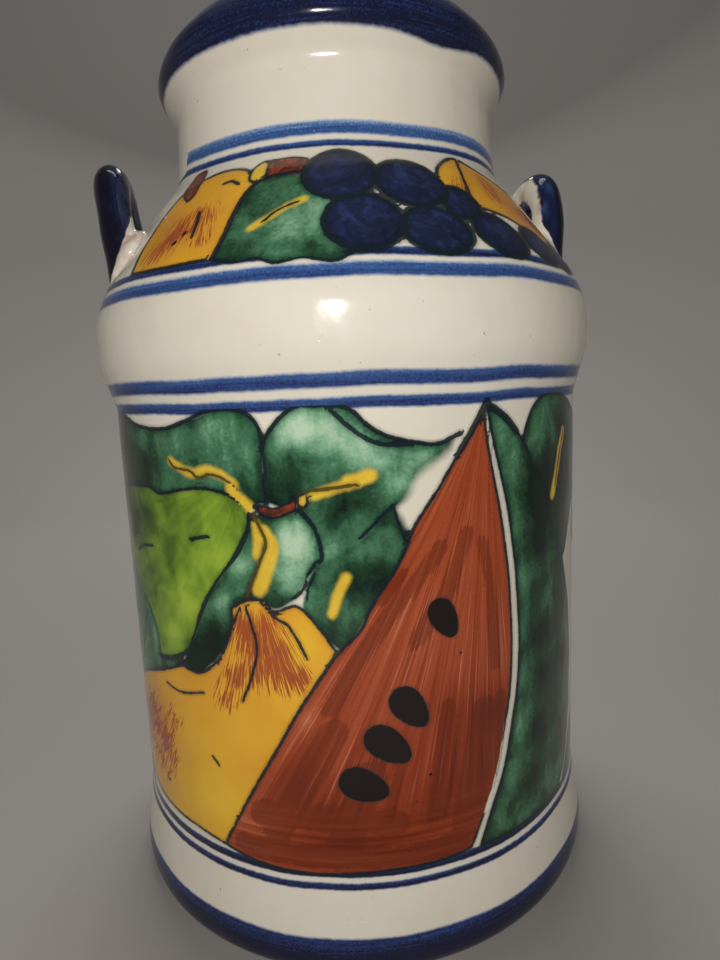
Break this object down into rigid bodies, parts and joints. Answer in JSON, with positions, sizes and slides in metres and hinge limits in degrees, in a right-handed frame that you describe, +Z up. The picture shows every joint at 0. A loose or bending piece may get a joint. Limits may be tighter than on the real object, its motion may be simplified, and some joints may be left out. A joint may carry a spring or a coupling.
{
  "type": "talavera pottery vase",
  "caption": "Milk-can shaped glazed pottery vase with a standing collar, sloping shoulder, rolled lip and upright coil handles, painted with fruit and leaves.",
  "frame": {"origin": "middle of the foot, on the surface the vase stands on", "axes": "+Z up the vase's axis of turning, the handles at -X and +X, the main painted fruit facing -Y"},
  "size_m": [0.1848, 0.1848, 0.3],
  "materials": {
    "painted_glaze": "glossy tin glaze over hand painted oxides, bare foot",
    "handle_glaze": "glossy cobalt glaze, white on the inner side and the feet"
  },
  "bodies": {
    "root": {"vessel": "painted_glaze", "handle_left": "handle_glaze", "handle_right": "handle_glaze"}
  },
  "joints": []
}
